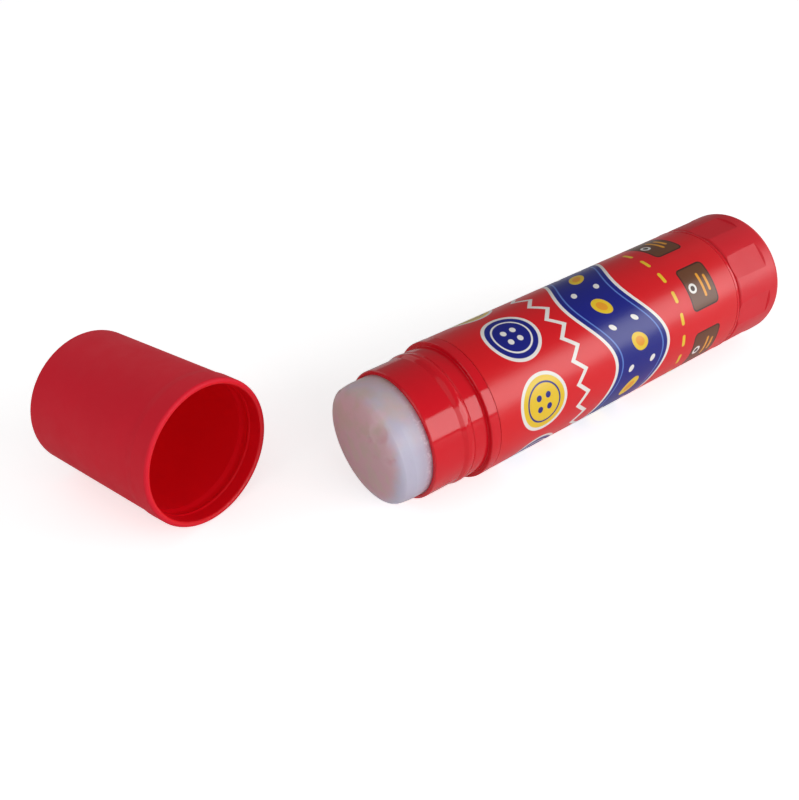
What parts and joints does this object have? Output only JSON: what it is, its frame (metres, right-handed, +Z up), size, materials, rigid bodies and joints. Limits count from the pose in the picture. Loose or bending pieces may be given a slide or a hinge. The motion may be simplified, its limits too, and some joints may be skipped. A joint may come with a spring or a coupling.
{
  "type": "glue stick",
  "caption": "Twist-up glue stick lying on its side, with its push-on cap taken off and laid beside its worn glue tip.",
  "frame": {"origin": "on the surface that the object lies on, under the middle of its box", "axes": "+X along the tube from the knob to the glue, +Z up, the cap lies on the -Y side of the glue"},
  "size_m": [0.1278, 0.0584, 0.0249],
  "materials": {
    "cap_plastic": "satin moulded",
    "barrel_plastic": "glossy moulded",
    "label_film": "printed film",
    "knob_plastic": "satin moulded",
    "inner_plastic": "plain moulded",
    "glue": "translucent, waxy"
  },
  "bodies": {
    "barrel": {"barrel": "barrel_plastic", "label": "label_film"},
    "knob": {"knob": "knob_plastic", "spindle": "inner_plastic"},
    "carrier": {"carrier": "inner_plastic", "glue": "glue"},
    "cap": {"cap": "cap_plastic"}
  },
  "joints": [
    {"name": "knob_turn", "type": "hinge", "parent": "barrel", "child": "knob", "pos_m": [-0.05788, 0.01711, 0.01208], "axis": [1, 0, 0], "range_deg": [-720, 4320]},
    {"name": "glue_rise", "type": "slide", "parent": "barrel", "child": "carrier", "axis": [1, 0, 0], "range_m": [-0.008, 0.048]},
    {"name": "cap_swing", "type": "hinge", "parent": "barrel", "child": "cap", "pos_m": [0.06668, 0.04826, 0.0118], "axis": [0, 0, 1], "range_deg": [0, 76.57]}
  ],
  "couplings": [
    {"joint": "glue_rise", "follows": "knob_turn", "m_per_rad": 0.0006366}
  ]
}
